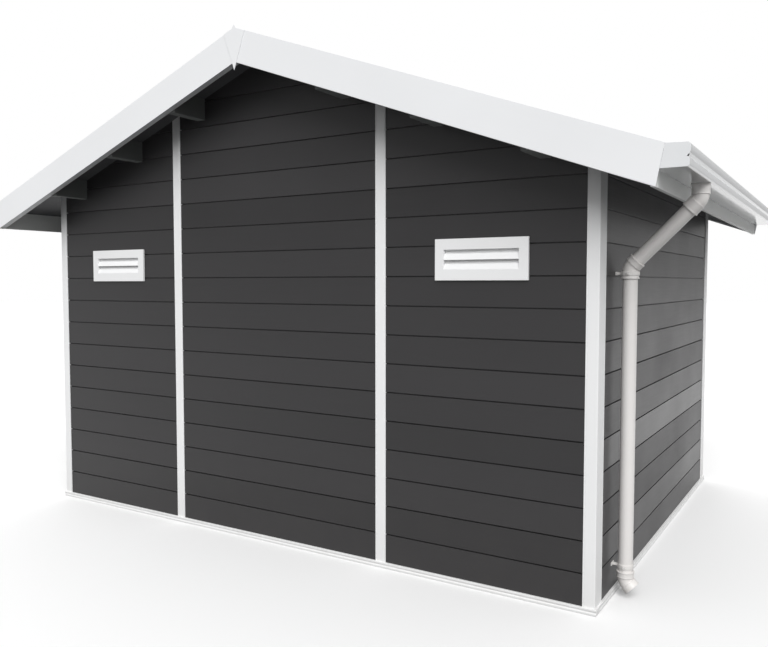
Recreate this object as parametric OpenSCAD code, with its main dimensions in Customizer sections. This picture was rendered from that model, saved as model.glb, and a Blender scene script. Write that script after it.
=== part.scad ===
// Garden shed with composite board walls, a low gabled roof, eaves gutters and a downpipe.
// Millimetres, Z up. Origin: centre of the footprint at ground level.
// The detailed gable faces -Y and the side with the downpipe faces +X.

/* [Walls] */
// Width over the board faces of the side walls
wall_w = 3744; // [2400:1:6000]
// Depth over the board faces of the gable walls
wall_d = 2824; // [1800:1:6000]
// Thickness of the tongued boards
board_t = 28; // [18:1:45]
// Width of the cut-out behind each vent
vent_hole_w = 404; // [200:1:600]
// Height of the cut-out behind each vent
vent_hole_h = 124; // [60:1:200]

/* [Base track] */
// Height of the base track
track_h = 30; // [15:1:80]
// How far the track stands out from the boards
track_lip = 12; // [2:1:30]
// Width of the base track
track_w = 48; // [30:1:90]

/* [Posts] */
// Width of the gable face of a corner post
corner_face = 59; // [40:1:120]
// Width of the side face of a corner post
corner_side = 103; // [40:1:160]
// Width of an inner post
inner_post_w = 62; // [30:1:100]
// Depth of an inner post
inner_post_d = 60; // [30:1:100]
// Distance of an inner post's centre from the middle of the gable
inner_post_x = 738; // [400:1:1200]
// How far the post faces stand out from the boards
post_proud = 4; // [0:0.5:15]

/* [Vents] */
// Width of a vent's frame
vent_w = 487; // [200:1:700]
// Height of a vent's frame
vent_h = 203; // [80:1:300]
// Height of the middle of the vents above ground
vent_z = 1611; // [600:1:2000]
// Distance of the left vent's centre from the middle of the gable
vent_x_left = 1284; // [1100:1:1500]
// Distance of the right vent's centre from the middle of the gable
vent_x_right = 1305; // [1100:1:1500]
// How far the vent's frame stands out from the boards
vent_proud = 14; // [4:1:40]
// Width of the frame's border
vent_border = 48; // [10:1:60]
// Thickness of a louvre blade
blade_t = 5; // [2:0.5:10]
// Width of a louvre blade across its slope
blade_w = 30; // [10:1:60]
// Distance from blade to blade
blade_pitch = 45; // [20:1:60]
// Tilt of the louvre blades
blade_tilt = 40; // [10:1:60]

/* [Roof] */
// Rise of the roof per millimetre of run
slope = 0.369; // [0.1:0.001:1.0]
// Height of the roof's underside at the ridge
soffit_apex = 2776; // [2000:1:4000]
// Plumb thickness of the roof panels
roof_t = 68; // [20:1:150]
// How far the roof runs past the gable boards
overhang = 280; // [100:1:600]
// Distance of the roof panel's lower end from the middle
roof_end_x = 2195; // [1600:1:3500]
// Thickness of the ridge cap
cap_t = 4; // [1:0.5:8]
// Run of the ridge cap each way from the ridge
cap_run = 150; // [80:1:300]

/* [Purlins] */
// Width of a purlin
purlin_w = 60; // [40:1:120]
// Plumb height of a purlin below the roof panel
purlin_h = 125; // [60:1:200]
// Distance of the first purlin's ridge side from the middle
purlin_x = 497; // [300:1:900]
// Distance from purlin to purlin
purlin_pitch = 548; // [300:1:900]
// Number of purlins on each slope
purlin_count = 3; // [1:1:6]

/* [Barge boards] */
// Plumb height of a barge board
barge_h = 180; // [80:1:300]
// Thickness of the folded sheet
sheet_t = 4; // [1:0.5:8]
// Depth of the lower fold
barge_fold = 40; // [10:1:80]
// Depth of the upper fold
barge_cover = 62; // [20:1:120]
// Distance of the lower end corner from the middle
barge_end_low = 2165; // [1600:1:3500]
// Distance of the upper end corner from the middle
barge_end_high = 2197; // [1600:1:3500]
// Drop of the apex plate's tip below the barge boards
tip_drop = 45; // [0:1:120]
// Height of the small point above the apex
tip_rise = 17; // [0:1:60]

/* [Gutters] */
// Height of the gutter's underside above ground
gutter_z = 1938; // [1500:1:3000]
// Height of the gutter's rim above ground
gutter_top = 2032; // [1500:1:3000]
// Distance of the gutter's outer face from the middle
gutter_x = 2292; // [1700:1:3600]
// Thickness of the gutter's walls
gutter_t = 4; // [1:0.5:8]
// Height of the fascia's lower edge above ground
fascia_z = 1870; // [1500:1:3000]
// Thickness of the fascia boards
fascia_t = 20; // [10:1:40]

/* [Downpipe] */
// Outside radius of the pipe
pipe_r = 34; // [20:0.5:60]
// Radius of the bore of pipe and bends
bore_r = 31.5; // [18:0.5:58]
// Outside radius of a bend
bend_r = 36; // [20:0.5:62]
// Outside radius of a socket
socket_r = 40; // [20:0.5:66]
// Distance of the pipe's axis from the side wall's boards
pipe_off = 64; // [40:1:150]
// Distance of the pipe's axis from the gable's boards
pipe_back = 285; // [100:1:600]
// Distance of the gutter outlet's axis from the side wall's boards
outlet_off = 366; // [200:1:500]
// Height of the upper bend's corner above ground
top_bend_z = 1872; // [1400:1:2600]
// Height of the shoe's corner above ground
shoe_z = 80; // [60:1:200]
// Distance from the upper bend's corner to the end of its sloping socket
leg_top = 66; // [30:1:120]
// Distance from the lower bend's corner to the end of its sloping socket
leg_low = 48; // [30:1:120]
// Distance from the lower bend's corner to the end of its upright socket
leg_foot = 54; // [30:1:120]
// Distance from the shoe's corner to either end
shoe_leg = 48; // [30:1:120]
// Distance from a bend's corner to its sockets
neck = 21; // [18:1:60]

/* [Hidden] */
wx = wall_w / 2;
wy = wall_d / 2;
post_x = wx + post_proud;
post_y = wy + post_proud;
end_y = wy + overhang;
sheet_y = end_y - sheet_t;
fold_y = end_y - barge_fold;
cover_y = end_y - barge_cover;
barge_low = soffit_apex + roof_t + sheet_t - barge_h;
barge_top = barge_low + barge_h;
pipe_x = wx + pipe_off;
pipe_y = -wy + pipe_back;
outlet_x = wx + outlet_off;
low_bend_z = top_bend_z - (outlet_off - pipe_off);
corner_in_x = post_x - corner_face;
corner_in_y = post_y - corner_side;
$fn = 64;

// Height of the roof's underside at a distance x from the middle.
function soffit(x) = soffit_apex - slope * abs(x);

// Run a shape drawn in X and Z along Y, from y0 to y1.
module along_y(y0, y1) {
    translate([0, y1, 0])
        rotate([90, 0, 0])
            linear_extrude(height = y1 - y0)
                children();
}

// Repeat a part on the other side of the middle.
module to_left() {
    mirror([1, 0, 0])
        children();
}

// Repeat a part on the other gable.
module to_back() {
    mirror([0, 1, 0])
        children();
}

// ---- Base track ----

// Length of track under a gable wall.
module track_gable() {
    translate([-wx - track_lip, -wy - track_lip, 0])
        cube([wall_w + 2 * track_lip, track_w, track_h]);
}

// Length of track under a side wall, between the gable tracks.
module track_side() {
    run = wall_d + 2 * track_lip - 2 * track_w;
    translate([wx + track_lip - track_w, -run / 2, 0])
        cube([track_w, run, track_h]);
}

// ---- Posts ----

// Post at the front right corner.
module corner_post() {
    along_y(-post_y, -corner_in_y)
        polygon([[corner_in_x, track_h],
                 [post_x, track_h],
                 [post_x, soffit(post_x)],
                 [corner_in_x, soffit(corner_in_x)]]);
}

// Inner post on the right of the front gable.
module inner_post() {
    x0 = inner_post_x - inner_post_w / 2;
    x1 = inner_post_x + inner_post_w / 2;
    along_y(-post_y, -post_y + inner_post_d)
        polygon([[x0, track_h],
                 [x1, track_h],
                 [x1, soffit(x1)],
                 [x0, soffit(x0)]]);
}

// ---- Walls ----

// Cross-section of purlin number i on the right slope.
module purlin_shape(i) {
    x0 = purlin_x + i * purlin_pitch;
    x1 = x0 + purlin_w;
    z0 = soffit(x0) - purlin_h;
    polygon([[x0, z0], [x1, z0], [x1, soffit(x1)], [x0, soffit(x0)]]);
}

// Rectangle of a vent's cut-out, centred at x.
module vent_hole(x) {
    translate([x - vent_hole_w / 2, vent_z - vent_hole_h / 2])
        square([vent_hole_w, vent_hole_h]);
}

// Gable wall beside a corner post, with its vent's cut-out at vent_x.
module wall_outer(vent_x) {
    x0 = inner_post_x + inner_post_w / 2;
    along_y(-wy, -wy + board_t)
        difference() {
            polygon([[x0, track_h],
                     [corner_in_x, track_h],
                     [corner_in_x, soffit(corner_in_x)],
                     [x0, soffit(x0)]]);
            vent_hole(vent_x);
            for (i = [1 : purlin_count - 1])
                purlin_shape(i);
        }
}

// Gable wall between the inner posts.
module wall_centre() {
    x1 = inner_post_x - inner_post_w / 2;
    along_y(-wy, -wy + board_t)
        difference() {
            polygon([[-x1, track_h],
                     [x1, track_h],
                     [x1, soffit(x1)],
                     [0, soffit_apex],
                     [-x1, soffit(x1)]]);
            purlin_shape(0);
            mirror([1, 0])
                purlin_shape(0);
        }
}

// Right side wall, between the corner posts.
module wall_side() {
    x0 = wx - board_t;
    along_y(-corner_in_y, corner_in_y)
        polygon([[x0, track_h], [wx, track_h], [wx, soffit(wx)], [x0, soffit(x0)]]);
}

// ---- Vents ----

// Frame of a vent on the boards, with a sleeve through the wall.
module vent_frame(x) {
    open_w = vent_w - 2 * vent_border;
    open_h = vent_hole_h - 8;
    translate([x, 0, vent_z]) {
        along_y(-wy - vent_proud, -wy)
            difference() {
                square([vent_w, vent_h], center = true);
                square([open_w, open_h], center = true);
            }
        along_y(-wy, -wy + board_t)
            difference() {
                square([vent_hole_w, vent_hole_h], center = true);
                square([open_w, open_h], center = true);
            }
    }
}

// The louvre blades of a vent, which span its frame.
module vent_blades(x) {
    open_w = vent_w - 2 * vent_border;
    translate([x, -wy, vent_z])
        for (i = [-1 : 1])
            translate([0, 0, i * blade_pitch])
                rotate([blade_tilt, 0, 0])
                    cube([open_w, blade_w, blade_t], center = true);
}

// ---- Roof structure ----

// The purlins of the right slope.
module purlins() {
    along_y(-fold_y + 2, fold_y - 2)
        for (i = [0 : purlin_count - 1])
            purlin_shape(i);
}

// Roof panel of the right slope.
module roof_panel() {
    along_y(-sheet_y, sheet_y)
        polygon([[0, soffit_apex],
                 [roof_end_x, soffit(roof_end_x)],
                 [roof_end_x, soffit(roof_end_x) + roof_t],
                 [0, soffit_apex + roof_t]]);
}

// ---- Barge boards ----

// Folded barge board on the right half of the front gable.
module barge_board() {
    low_in = fascia_in_x() - 1;
    along_y(-end_y, -sheet_y)
        polygon([[0, barge_low],
                 [barge_end_low, barge_low - slope * barge_end_low],
                 [barge_end_high, barge_top - slope * barge_end_high],
                 [0, barge_top]]);
    along_y(-sheet_y, -fold_y)
        polygon([[0, barge_low],
                 [low_in, barge_low - slope * low_in],
                 [low_in, barge_low - slope * low_in + sheet_t],
                 [0, barge_low + sheet_t]]);
    along_y(-sheet_y, -cover_y)
        polygon([[0, barge_top - sheet_t],
                 [roof_end_x, barge_top - sheet_t - slope * roof_end_x],
                 [roof_end_x, barge_top - slope * roof_end_x],
                 [0, barge_top]]);
}

// Plate over the joint of the barge boards, with a pointed foot and a small point on top.
module apex_plate() {
    foot = barge_low - tip_drop;
    side_t = (barge_top - foot) / (1 + slope * slope);
    side_x = slope * side_t;
    side_z = foot + side_t;
    peak_x = 16;
    along_y(-end_y - sheet_t, -end_y)
        polygon([[0, foot],
                 [side_x, side_z],
                 [peak_x, barge_top - slope * peak_x],
                 [0, barge_top + tip_rise],
                 [-peak_x, barge_top - slope * peak_x],
                 [-side_x, side_z]]);
}

// ---- Eaves ----

// Inner face of the fascia, measured from the middle.
function fascia_in_x() = barge_end_low - fascia_t;

// Fascia board of the right eaves.
module fascia() {
    x0 = fascia_in_x();
    x1 = barge_end_low;
    along_y(-sheet_y, sheet_y)
        polygon([[x0, fascia_z], [x1, fascia_z], [x1, soffit(x1)], [x0, soffit(x0)]]);
}

// Cross-section of the gutter's trough.
module trough_shape() {
    x0 = barge_end_low;
    back_top = soffit(x0 + gutter_t) - 1;
    polygon([[x0, gutter_z],
             [gutter_x - 8, gutter_z],
             [gutter_x, gutter_z + 8],
             [gutter_x, gutter_top],
             [gutter_x - gutter_t - 4, gutter_top],
             [gutter_x - gutter_t - 4, gutter_top - 8],
             [gutter_x - gutter_t, gutter_top - 12],
             [gutter_x - gutter_t, gutter_z + 10],
             [gutter_x - 10, gutter_z + gutter_t],
             [x0 + gutter_t, gutter_z + gutter_t],
             [x0 + gutter_t, back_top],
             [x0, back_top]]);
}

// End plate of the gutter, flush with the barge board's face.
module trough_end() {
    lean = (barge_end_high - barge_end_low) / (barge_h - slope * (barge_end_high - barge_end_low));
    base = barge_low - slope * barge_end_low;
    x_low = barge_end_low + lean * (gutter_z - base) + 0.5;
    x_top = barge_end_low + lean * (gutter_top + 3 - base) + 0.5;
    polygon([[x_low, gutter_z],
             [gutter_x - 8, gutter_z],
             [gutter_x, gutter_z + 8],
             [gutter_x, gutter_top],
             [x_top, gutter_top + 3]]);
}

// Gutter of the right eaves, without an outlet.
module gutter() {
    along_y(-sheet_y, sheet_y)
        trough_shape();
    along_y(-end_y, -sheet_y)
        trough_end();
    along_y(sheet_y, end_y)
        trough_end();
}

// ---- Downpipe, drawn with the axis of the vertical pipe at x = 0, y = 0 ----

// Length of pipe with outside radius r, its lower end at the origin.
module tube(r, len) {
    difference() {
        cylinder(r = r, h = len);
        translate([0, 0, -1])
            cylinder(r = bore_r, h = len + 2);
    }
}

// Straight part of a bend on its upright side, from distance a to distance b of the corner.
module leg_up(r, a, b) {
    translate([0, 0, a])
        tube(r, b - a);
}

// Straight part of a bend on its 45 degree side, from distance a to distance b of the corner.
module leg_out(r, a, b) {
    rotate([0, 135, 0])
        leg_up(r, a, b);
}

// Half of a mitred corner, from the mitre plane up to distance b.
module mitre_half(b, tilt) {
    size = 4 * bend_r;
    intersection() {
        translate([0, 0, -bend_r])
            tube(bend_r, b + bend_r);
        rotate([0, tilt, 0])
            translate([-size / 2, -size / 2, 0])
                cube(size);
    }
}

// Mitred corner that turns from straight down to 45 degrees towards +X.
module corner(up, out) {
    mitre_half(up, -22.5);
    rotate([0, 135, 0])
        mitre_half(out, 22.5);
}

// Shoe that throws the water away from the wall.
module shoe() {
    corner(neck, shoe_leg - 8);
    leg_up(socket_r, neck, shoe_leg);
    leg_out(bend_r + 1.5, shoe_leg - 8, shoe_leg);
}

// Bend under the gutter outlet.
module top_bend() {
    mirror([1, 0, 0]) {
        corner(neck, neck);
        leg_up(socket_r, neck, gutter_z - top_bend_z);
        leg_out(socket_r, neck, leg_top);
    }
}

// Bend at the foot of the sloping pipe.
module lower_bend() {
    mirror([0, 0, 1]) {
        corner(neck, neck);
        leg_up(socket_r, neck, leg_foot);
        leg_out(socket_r, neck, leg_low);
    }
}

// Clip of inside radius r with an arm and a foot on the wall.
module bracket(r, z) {
    band = 3;
    high = 20;
    arm = pipe_off - r - 1;
    translate([0, 0, z - high / 2]) {
        difference() {
            cylinder(r = r + band, h = high);
            translate([0, 0, -1])
                cylinder(r = r, h = high + 2);
        }
        translate([-pipe_off + 3, -5, 4])
            cube([arm - 3, 10, high - 8]);
        translate([-pipe_off, -22, 2])
            cube([4, 44, high - 4]);
    }
}

// ---- Named parts ----

module base_track_front() color("white") track_gable();
module base_track_back() color("white") to_back() track_gable();
module base_track_left() color("white") to_left() track_side();
module base_track_right() color("white") track_side();

module corner_post_front_left() color("white") to_left() corner_post();
module corner_post_front_right() color("white") corner_post();
module corner_post_back_left() color("white") to_back() to_left() corner_post();
module corner_post_back_right() color("white") to_back() corner_post();

module front_post_left() color("white") to_left() inner_post();
module front_post_right() color("white") inner_post();
module back_post_left() color("white") to_back() to_left() inner_post();
module back_post_right() color("white") to_back() inner_post();

module front_wall_left() color("dimgray") to_left() wall_outer(vent_x_left);
module front_wall_centre() color("dimgray") wall_centre();
module front_wall_right() color("dimgray") wall_outer(vent_x_right);
module back_wall_left() color("dimgray") to_back() to_left() wall_outer(vent_x_left);
module back_wall_centre() color("dimgray") to_back() wall_centre();
module back_wall_right() color("dimgray") to_back() wall_outer(vent_x_right);
module left_wall() color("dimgray") to_left() wall_side();
module right_wall() color("dimgray") wall_side();

module front_vents() color("white") {
    vent_frame(-vent_x_left);
    vent_frame(vent_x_right);
}

module back_vents() color("white") to_back() {
    vent_frame(-vent_x_left);
    vent_frame(vent_x_right);
}

module front_vent_blades() color("white") {
    vent_blades(-vent_x_left);
    vent_blades(vent_x_right);
}

module back_vent_blades() color("white") to_back() {
    vent_blades(-vent_x_left);
    vent_blades(vent_x_right);
}

module purlins_left() color("gray") to_left() purlins();
module purlins_right() color("gray") purlins();
module roof_panel_left() color("darkslategray") to_left() roof_panel();
module roof_panel_right() color("darkslategray") roof_panel();

module ridge_cap() {
    low = slope * cap_run;
    z0 = soffit_apex + roof_t;
    color("darkslategray")
        along_y(-cover_y + 1, cover_y - 1)
            polygon([[-cap_run, z0 - low],
                     [0, z0],
                     [cap_run, z0 - low],
                     [cap_run, z0 - low + cap_t],
                     [0, z0 + cap_t],
                     [-cap_run, z0 - low + cap_t]]);
}

module barge_board_front_left() color("white") to_left() barge_board();
module barge_board_front_right() color("white") barge_board();
module barge_board_back_left() color("white") to_back() to_left() barge_board();
module barge_board_back_right() color("white") to_back() barge_board();
module apex_plate_front() color("white") apex_plate();
module apex_plate_back() color("white") to_back() apex_plate();

module fascia_left() color("gainsboro") to_left() fascia();
module fascia_right() color("gainsboro") fascia();
module gutter_left() color("white") to_left() gutter();

module gutter_right() color("white")
    difference() {
        gutter();
        translate([outlet_x, pipe_y, gutter_z - 1])
            cylinder(r = bore_r, h = gutter_t + 2);
    }

module downpipe_top_bend() color("lightgray") translate([outlet_x, pipe_y, top_bend_z]) top_bend();

module downpipe_offset() {
    run = (outlet_off - pipe_off) * sqrt(2);
    color("lightgray")
        translate([outlet_x, pipe_y, top_bend_z])
            mirror([1, 0, 0])
                leg_out(pipe_r, leg_top, run - leg_low);
}

module downpipe_lower_bend() color("lightgray") translate([pipe_x, pipe_y, low_bend_z]) lower_bend();

module downpipe_pipe() {
    z0 = shoe_z + shoe_leg;
    color("lightgray")
        translate([pipe_x, pipe_y, z0])
            tube(pipe_r, low_bend_z - leg_foot - z0);
}

module downpipe_shoe() color("lightgray") translate([pipe_x, pipe_y, shoe_z]) shoe();

module downpipe_brackets() color("lightgray") translate([pipe_x, pipe_y, 0]) {
    bracket(pipe_r, 152);
    bracket(socket_r, low_bend_z - 28);
}

base_track_front();
base_track_back();
base_track_left();
base_track_right();
corner_post_front_left();
corner_post_front_right();
corner_post_back_left();
corner_post_back_right();
front_post_left();
front_post_right();
back_post_left();
back_post_right();
front_wall_left();
front_wall_centre();
front_wall_right();
back_wall_left();
back_wall_centre();
back_wall_right();
left_wall();
right_wall();
front_vents();
front_vent_blades();
back_vents();
back_vent_blades();
purlins_left();
purlins_right();
roof_panel_left();
roof_panel_right();
ridge_cap();
barge_board_front_left();
barge_board_front_right();
barge_board_back_left();
barge_board_back_right();
apex_plate_front();
apex_plate_back();
fascia_left();
fascia_right();
gutter_left();
gutter_right();
downpipe_top_bend();
downpipe_offset();
downpipe_lower_bend();
downpipe_pipe();
downpipe_shoe();
downpipe_brackets();
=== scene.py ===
"""Looks of the garden shed: boards, posts, vents, roof edge, gutters, downpipe and studio."""

import logging
import math
from dataclasses import dataclass, field
from enum import Enum
from typing import Callable, Sequence

import bpy
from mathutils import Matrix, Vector


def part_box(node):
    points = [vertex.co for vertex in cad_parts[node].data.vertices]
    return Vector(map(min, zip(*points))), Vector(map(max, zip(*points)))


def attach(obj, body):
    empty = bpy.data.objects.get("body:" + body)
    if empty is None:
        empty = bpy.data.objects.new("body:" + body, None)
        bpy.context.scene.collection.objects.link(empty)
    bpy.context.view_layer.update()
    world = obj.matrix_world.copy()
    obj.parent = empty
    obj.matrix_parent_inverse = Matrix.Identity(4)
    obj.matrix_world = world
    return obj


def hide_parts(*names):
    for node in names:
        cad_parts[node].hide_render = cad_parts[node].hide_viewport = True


LOG = logging.getLogger("shed")
Point2 = tuple[float, float]
Point3 = tuple[float, float, float]
Obj = bpy.types.Object
Mat = bpy.types.Material
Tree = bpy.types.NodeTree
Node = bpy.types.Node
Socket = bpy.types.NodeSocket
TINY = 0.00005
SPAN = 0.42
SMOOTH = math.radians(32)
EIGHTH = math.radians(45)


class Axis(Enum):
    """Axis along which a section runs, with the two axes its section is drawn on."""

    X = (0, 1, 2)
    Y = (1, 0, 2)
    Z = (2, 0, 1)

    def place(self, a: float, b: float, along: float) -> Vector:
        """Put section coordinates a and b, and a distance along the axis, in space.

        Args:
            a: First section coordinate.
            b: Second section coordinate.
            along: Distance along the axis.

        Returns:
            The point.
        """
        out = [0.0, 0.0, 0.0]
        out[self.value[0]], out[self.value[1]], out[self.value[2]] = along, a, b
        return Vector(out)


class Mirror(Enum):
    """Copies of a piece made on the other sides of the shed."""

    NONE = (1, 1)
    LEFT = (-1, 1)
    BACK = (1, -1)
    BACK_LEFT = (-1, -1)


@dataclass
class Slopes:
    """The roof's underside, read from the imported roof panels."""

    apex: float
    rise: float
    plumb: float

    @classmethod
    def measured(cls) -> "Slopes":
        """Read the slope and thickness from the right roof panel.

        Returns:
            The roof's lines, in metres.
        """
        lo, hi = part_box("roof_panel_right")
        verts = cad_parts["roof_panel_right"].data.vertices
        ridge = [v.co.z for v in verts if v.co.x < 0.001]
        eaves = [v.co.z for v in verts if v.co.x > hi.x - 0.001]
        apex, run = min(ridge), hi.x - lo.x
        return cls(apex, (apex - min(eaves)) / run, max(ridge) - min(ridge))

    def under(self, x: float) -> float:
        """Height of the roof's underside at distance x from the middle."""
        return self.apex - self.rise * abs(x)


# ---------------------------------------------------------------- modelling


class Bench:
    """The operators that shape every piece, with the selection kept clean."""

    @staticmethod
    def clear() -> None:
        """Leave edit mode and deselect everything."""
        if bpy.context.object and bpy.context.object.mode != "OBJECT":
            bpy.ops.object.mode_set(mode="OBJECT")
        bpy.ops.object.select_all(action="DESELECT")

    @staticmethod
    def only(obj: Obj) -> None:
        """Make one object the only selected one.

        Args:
            obj: Object to select.
        """
        Bench.clear()
        obj.select_set(True)
        bpy.context.view_layer.objects.active = obj

    @staticmethod
    def edit(obj: Obj) -> None:
        """Open one object in edit mode with all of it selected.

        Args:
            obj: Object to open.
        """
        Bench.only(obj)
        bpy.ops.object.mode_set(mode="EDIT")
        bpy.ops.mesh.select_all(action="SELECT")

    @staticmethod
    def named(name: str) -> Obj:
        """Name the new object and fix its place in its mesh.

        Args:
            name: Name of the object and its mesh.

        Returns:
            The object, at the origin and unscaled.
        """
        obj = bpy.context.object
        obj.name = obj.data.name = name
        bpy.ops.object.transform_apply(location=True, rotation=True, scale=True)
        return obj

    @staticmethod
    def block(name: str, lo: Sequence[float], hi: Sequence[float]) -> Obj:
        """Add a box between two corners.

        Args:
            name: Name of the object.
            lo: Lowest corner.
            hi: Highest corner.

        Returns:
            The box.
        """
        Bench.clear()
        low, high = Vector(lo), Vector(hi)
        bpy.ops.mesh.primitive_cube_add(size=1, location=(low + high) / 2, scale=high - low)
        return Bench.named(name)

    @staticmethod
    def outline(
        name: str, points: Sequence[Point2], axis: Axis, start: float, end: float
    ) -> Obj:
        """Trace a closed section point by point and run it along an axis.

        Args:
            name: Name of the object.
            points: Corners of the section, in order.
            axis: Axis that the section runs along.
            start: Where the section starts on the axis.
            end: Where it ends.

        Returns:
            The closed solid.
        """
        run = axis.place(0, 0, end) - axis.place(0, 0, start)
        return Bench.swept(name, [axis.place(a, b, start) for a, b in points], run)

    @staticmethod
    def swept(name: str, corners: Sequence[Vector], run: Vector) -> Obj:
        """Trace a closed loop of corners and push it along a vector.

        Args:
            name: Name of the object.
            corners: Corners of the loop, in order and in one plane.
            run: The way and distance the loop is pushed.

        Returns:
            The closed solid.
        """
        Bench.clear()
        bpy.ops.mesh.primitive_plane_add(size=0.01, location=corners[0])
        obj = Bench.named(name)
        Bench.edit(obj)
        bpy.ops.mesh.merge(type="CENTER")
        here = corners[0]
        for corner in [*corners[1:], corners[0]]:
            bpy.ops.mesh.extrude_vertices_move(
                TRANSFORM_OT_translate={"value": tuple(corner - here)}
            )
            here = corner
        bpy.ops.mesh.select_all(action="SELECT")
        bpy.ops.mesh.remove_doubles(threshold=TINY)
        bpy.ops.mesh.edge_face_add()
        bpy.ops.mesh.extrude_region_move(TRANSFORM_OT_translate={"value": tuple(run)})
        return Bench.closed(obj)

    @staticmethod
    def closed(obj: Obj) -> Obj:
        """Turn every face of a solid outwards.

        Args:
            obj: Closed solid.

        Returns:
            The same object.
        """
        Bench.edit(obj)
        bpy.ops.mesh.normals_make_consistent(inside=False)
        Bench.clear()
        return obj

    @staticmethod
    def slice_off(obj: Obj, point: Vector, normal: Vector) -> None:
        """Cut away what lies on the normal's side of a plane and cap the cut.

        Args:
            obj: Solid to cut.
            point: A point of the plane.
            normal: The side that goes.
        """
        Bench.edit(obj)
        bpy.ops.mesh.bisect(
            plane_co=point, plane_no=normal, use_fill=True, clear_outer=True, threshold=1e-5
        )
        Bench.closed(obj)

    @staticmethod
    def finish_with(obj: Obj, kind: str, **values: object) -> None:
        """Add a modifier with the given values and apply it.

        Args:
            obj: Object that gets the modifier.
            kind: Blender's name of the modifier type.
            **values: Settings of the modifier.
        """
        Bench.only(obj)
        mod = obj.modifiers.new(kind.title(), kind)
        for key, value in values.items():
            setattr(mod, key, value)
        bpy.ops.object.modifier_apply(modifier=mod.name)

    @staticmethod
    def soften(obj: Obj, width: float, segments: int = 2) -> None:
        """Round the edges of a solid a little and shade it by angle.

        Args:
            obj: Solid to round.
            width: Width of the rounding.
            segments: Steps across it.
        """
        Bench.finish_with(
            obj, "BEVEL", width=width, segments=segments, limit_method="ANGLE",
            angle_limit=math.radians(30), use_clamp_overlap=True,
        )
        Bench.only(obj)
        bpy.ops.object.shade_smooth_by_angle(angle=SMOOTH)

    @staticmethod
    def carve(obj: Obj, cutter: Obj) -> None:
        """Take the shape of a cutter out of a solid, and discard the cutter."""
        Bench.finish_with(obj, "BOOLEAN", operation="DIFFERENCE", solver="EXACT", object=cutter)
        bpy.data.objects.remove(cutter)

    @staticmethod
    def joined(name: str, parts: Sequence[Obj]) -> Obj:
        """Join solids into one object.

        Args:
            name: Name of the joined object.
            parts: The solids.

        Returns:
            The joined object.
        """
        Bench.only(parts[0])
        for part in parts:
            part.select_set(True)
        if len(parts) > 1:
            bpy.ops.object.join()
        obj = bpy.context.view_layer.objects.active
        obj.name = obj.data.name = name
        return obj

    @staticmethod
    def copied(obj: Obj, name: str) -> Obj:
        """Copy an object with its own mesh.

        Args:
            obj: Object to copy.
            name: Name of the copy.

        Returns:
            The copy, with its own mesh.
        """
        Bench.only(obj)
        bpy.ops.object.duplicate(linked=False)
        twin = bpy.context.object
        twin.name = twin.data.name = name
        return twin

    @staticmethod
    def mirrored(obj: Obj, name: str, way: Mirror) -> Obj:
        """Copy an object to another side of the shed.

        Args:
            obj: Object to copy.
            name: Name of the copy.
            way: Side that the copy goes to.

        Returns:
            The copy, with its faces outwards.
        """
        twin = Bench.copied(obj, name)
        if way is not Mirror.NONE:
            Bench.edit(twin)
            bpy.ops.transform.resize(value=(*way.value, 1), center_override=(0, 0, 0))
            if way is not Mirror.BACK_LEFT:
                bpy.ops.mesh.flip_normals()
        Bench.closed(twin)
        return twin

    @staticmethod
    def tube(
        name: str, foot: Vector, outer: float, inner: float, length: float, lean: float = 0.0
    ) -> Obj:
        """Make a pipe with an open bore.

        Args:
            name: Name of the object.
            foot: Centre of its lower end.
            outer: Outside radius.
            inner: Radius of the bore.
            length: Length of the pipe.
            lean: Angle that its upper end leans towards +X, in radians.

        Returns:
            The pipe.
        """
        Bench.clear()
        bpy.ops.mesh.primitive_cylinder_add(
            vertices=48, radius=outer, depth=length, location=(0, 0, length / 2)
        )
        obj = Bench.named(name)
        Bench.edit(obj)
        bpy.ops.mesh.select_mode(type="FACE")
        Bench.pick(obj, lambda f: len(f.vertices) > 4)
        bpy.ops.mesh.inset(thickness=outer - inner)
        bpy.ops.mesh.bridge_edge_loops()
        Bench.edit(obj)
        if lean:
            bpy.ops.transform.rotate(
                value=-lean, orient_axis="Y", center_override=(0, 0, 0)
            )
        bpy.ops.transform.translate(value=tuple(foot))
        return Bench.closed(obj)

    @staticmethod
    def pick(obj: Obj, wanted: Callable[[bpy.types.MeshPolygon], bool]) -> None:
        """Select in edit mode the faces that pass a test.

        Args:
            obj: Object in edit mode.
            wanted: Test that a face has to pass.
        """
        bpy.ops.mesh.select_all(action="DESELECT")
        bpy.ops.object.mode_set(mode="OBJECT")
        for face in obj.data.polygons:
            face.select = wanted(face)
        bpy.ops.object.mode_set(mode="EDIT")

    @staticmethod
    def elbow(
        name: str, corner: Vector, outer: float, inner: float, bend: float, turn: float
    ) -> Obj:
        """Make the curved part of a bend, from upright to 45 degrees.

        Args:
            name: Name of the object.
            corner: Where the two axes of the bend meet.
            outer: Outside radius.
            inner: Radius of the bore.
            bend: Bending radius of the axis.
            turn: 1 if the sloping side goes to +X, -1 if it goes to -X.

        Returns:
            The curved pipe, whose upright end is above the corner.
        """
        tangent = bend * math.tan(EIGHTH / 2)
        Bench.clear()
        bpy.ops.mesh.primitive_circle_add(
            vertices=48, radius=outer, fill_type="NGON",
            location=(corner.x, corner.y, corner.z + tangent),
        )
        obj = Bench.named(name)
        Bench.edit(obj)
        bpy.ops.mesh.select_mode(type="FACE")
        bpy.ops.mesh.inset(thickness=outer - inner)
        bpy.ops.mesh.delete(type="FACE")
        bpy.ops.mesh.select_all(action="SELECT")
        bpy.ops.mesh.spin(
            steps=10, angle=EIGHTH * turn,
            center=(corner.x + bend * turn, corner.y, corner.z + tangent), axis=(0, 1, 0),
        )
        bpy.ops.mesh.select_all(action="SELECT")
        bpy.ops.mesh.remove_doubles(threshold=TINY)
        return Bench.closed(obj)


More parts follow.
